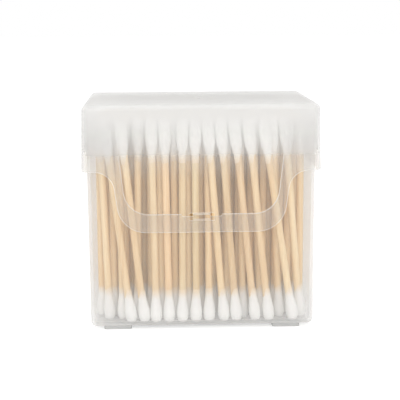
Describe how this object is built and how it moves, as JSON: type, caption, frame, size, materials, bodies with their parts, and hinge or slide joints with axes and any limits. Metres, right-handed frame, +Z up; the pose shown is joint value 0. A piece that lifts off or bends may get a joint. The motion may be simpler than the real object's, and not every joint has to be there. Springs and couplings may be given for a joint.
{
  "type": "cotton swab box",
  "caption": "Frosted plastic flip-top box with a latched front flap over a dispensing cut-out, filled with standing wooden cotton swabs.",
  "frame": {"origin": "on the surface that the feet stand on, under the middle of the whole outline", "axes": "+Z up, the front with the flap and the dispensing cut-out faces -Y, +X to the box's right as seen from the front"},
  "size_m": [0.0858, 0.0629, 0.0825],
  "materials": {
    "body_plastic": "frosted translucent moulded polypropylene",
    "lid_plastic": "frosted translucent moulded polypropylene",
    "stick_wood": "plain pale wood, lightly sanded, fine straight grain",
    "cotton": "wound cotton fibre, matte"
  },
  "bodies": {
    "box": {"box_body": "body_plastic", "front_swab_01_stick": "stick_wood", "front_swab_01_tips": "cotton", "front_swab_02_stick": "stick_wood", "front_swab_02_tips": "cotton", "front_swab_03_stick": "stick_wood", "front_swab_03_tips": "cotton", "front_swab_04_stick": "stick_wood", "front_swab_04_tips": "cotton", "front_swab_05_stick": "stick_wood", "front_swab_05_tips": "cotton", "front_swab_06_stick": "stick_wood", "front_swab_06_tips": "cotton", "front_swab_07_stick": "stick_wood", "front_swab_07_tips": "cotton", "front_swab_08_stick": "stick_wood", "front_swab_08_tips": "cotton", "front_swab_09_stick": "stick_wood", "front_swab_09_tips": "cotton", "front_swab_10_stick": "stick_wood", "front_swab_10_tips": "cotton", "front_swab_11_stick": "stick_wood", "front_swab_11_tips": "cotton", "front_swab_12_stick": "stick_wood", "front_swab_12_tips": "cotton", "row_02_sticks": "stick_wood", "row_02_tips": "cotton", "row_03_sticks": "stick_wood", "row_03_tips": "cotton", "row_04_sticks": "stick_wood", "row_04_tips": "cotton", "row_05_sticks": "stick_wood", "row_05_tips": "cotton", "row_06_sticks": "stick_wood", "row_06_tips": "cotton", "row_07_sticks": "stick_wood", "row_07_tips": "cotton", "row_08_sticks": "stick_wood", "row_08_tips": "cotton", "row_09_sticks": "stick_wood", "row_09_tips": "cotton", "row_10_sticks": "stick_wood", "row_10_tips": "cotton", "row_11_sticks": "stick_wood", "row_11_tips": "cotton", "row_12_sticks": "stick_wood", "row_12_tips": "cotton"},
    "lid": {"lid": "lid_plastic"}
  },
  "joints": [
    {"name": "lid_hinge", "type": "hinge", "parent": "box", "child": "lid", "pos_m": [0, 0.02583, 0.07355], "axis": [-1, 0, 0], "range_deg": [0, 100]}
  ]
}
